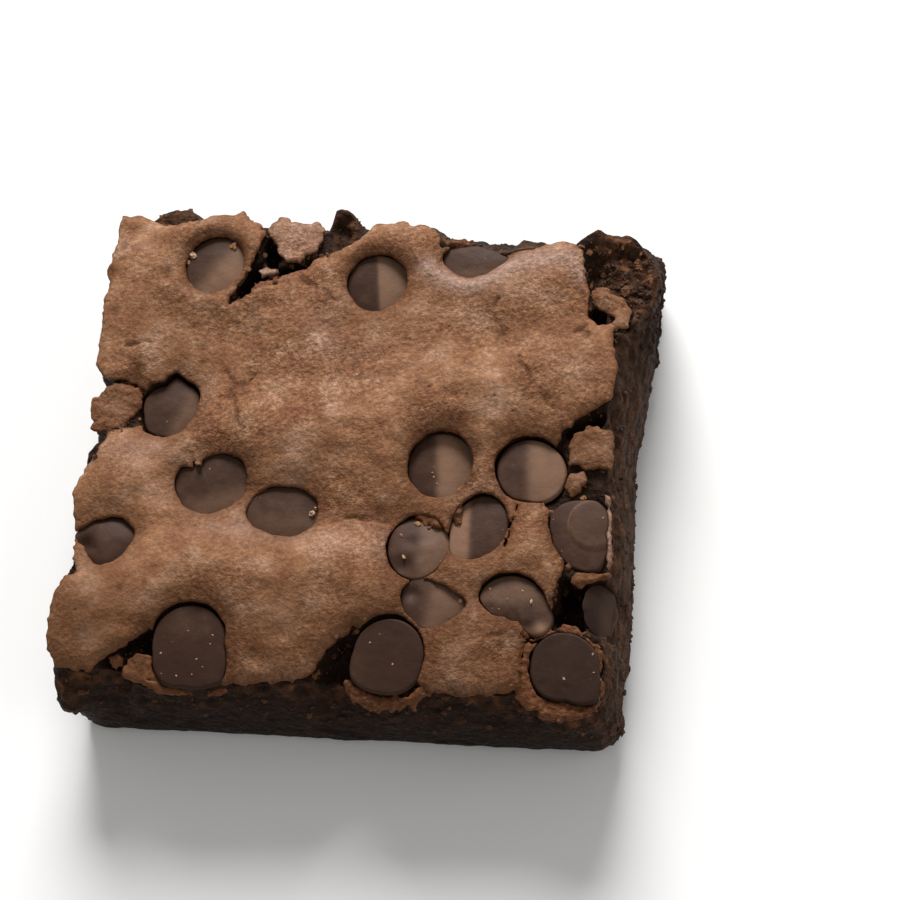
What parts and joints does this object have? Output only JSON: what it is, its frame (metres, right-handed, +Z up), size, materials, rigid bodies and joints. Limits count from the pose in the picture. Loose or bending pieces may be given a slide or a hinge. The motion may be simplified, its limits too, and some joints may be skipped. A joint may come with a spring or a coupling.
{
  "type": "chocolate brownie",
  "caption": "Square cut of chocolate brownie with a thin cracked crust, craggy crumb sides and chocolate chips baked into the top.",
  "frame": {"origin": "on the surface it rests on, under the middle of the brownie's box", "axes": "+Z up out of the crust, +X towards the cut side beside the close group of chips, +Y towards the side with the two chips in lifted crust"},
  "size_m": [0.074, 0.0696, 0.0213],
  "materials": {
    "crust": "matte thin baked crust over dark moist crumb",
    "chips": "satin dark chocolate"
  },
  "bodies": {
    "root": {"brownie": "crust", "chip_01": "chips", "chip_02": "chips", "chip_03": "chips", "chip_04": "chips", "chip_05": "chips", "chip_06": "chips", "chip_07": "chips", "chip_08": "chips", "chip_09": "chips", "chip_10": "chips", "chip_11": "chips", "chip_12": "chips", "chip_13": "chips", "chip_14": "chips", "chip_15": "chips", "chip_16": "chips", "chip_17": "chips", "chip_18": "chips"}
  },
  "joints": []
}
